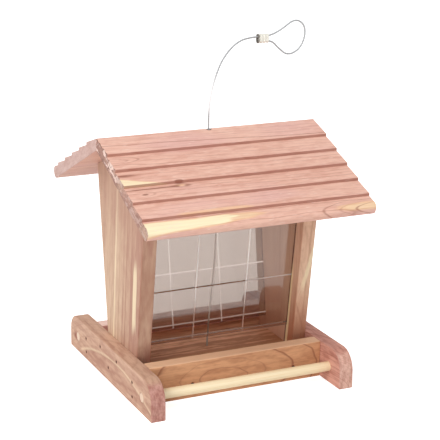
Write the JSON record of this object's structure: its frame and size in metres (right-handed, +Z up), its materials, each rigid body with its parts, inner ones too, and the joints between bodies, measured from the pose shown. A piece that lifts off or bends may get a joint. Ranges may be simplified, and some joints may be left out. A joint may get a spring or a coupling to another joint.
{
  "type": "hanging bird feeder",
  "caption": "Cedar hopper bird feeder with a lapped gable roof that lifts on a hanging cable, clear slanted windows, seed trays and dowel perches.",
  "frame": {"origin": "middle of the base, on the underside of the side rails", "axes": "+X along the ridge, to the right seen from the front; the front faces -Y; +Z up along the cable"},
  "size_m": [0.3, 0.3308, 0.4503],
  "materials": {
    "cedar": "planed red cedar, unfinished",
    "cedar_roof": "milled red cedar laps with pale sapwood, unfinished",
    "dowel": "turned pale hardwood, unfinished",
    "acrylic": "clear sheet scored into squares",
    "nail_steel": "bright steel, dulled",
    "cable_steel": "stranded galvanised steel",
    "ferrule": "crimped, satin"
  },
  "bodies": {
    "feeder": {"left_side_rail": "cedar", "right_side_rail": "cedar", "front_tray_rail": "cedar", "rear_tray_rail": "cedar", "floor_board": "cedar", "left_gable_wall": "cedar", "right_gable_wall": "cedar", "front_perch": "dowel", "rear_perch": "dowel", "front_window": "acrylic", "rear_window": "acrylic", "left_rail_nails": "nail_steel", "right_rail_nails": "nail_steel", "front_tray_nails": "nail_steel", "rear_tray_nails": "nail_steel", "hanging_cable": "cable_steel", "cable_washer": "nail_steel", "cable_stop_sleeve": "ferrule"},
    "roof": {"front_roof_board": "cedar_roof", "rear_roof_board": "cedar_roof", "ridge_nails": "nail_steel"},
    "hanger": {"loop_ferrule": "ferrule", "hanging_loop": "cable_steel"}
  },
  "joints": [
    {"name": "roof_lift", "type": "slide", "parent": "feeder", "child": "roof", "axis": [0, 0, 1], "range_m": [0, 0.115], "deforming": ["hanging_cable"]},
    {"name": "cable_bend", "type": "hinge", "parent": "feeder", "child": "hanger", "pos_m": [0.0114, 0, 0.389], "axis": [0, -1, 0], "range_deg": [0, 52.5], "deforming": ["hanging_cable"]}
  ],
  "couplings": [
    {"joint": "cable_bend", "follows": "roof_lift", "rad_per_m": 7.9678}
  ]
}
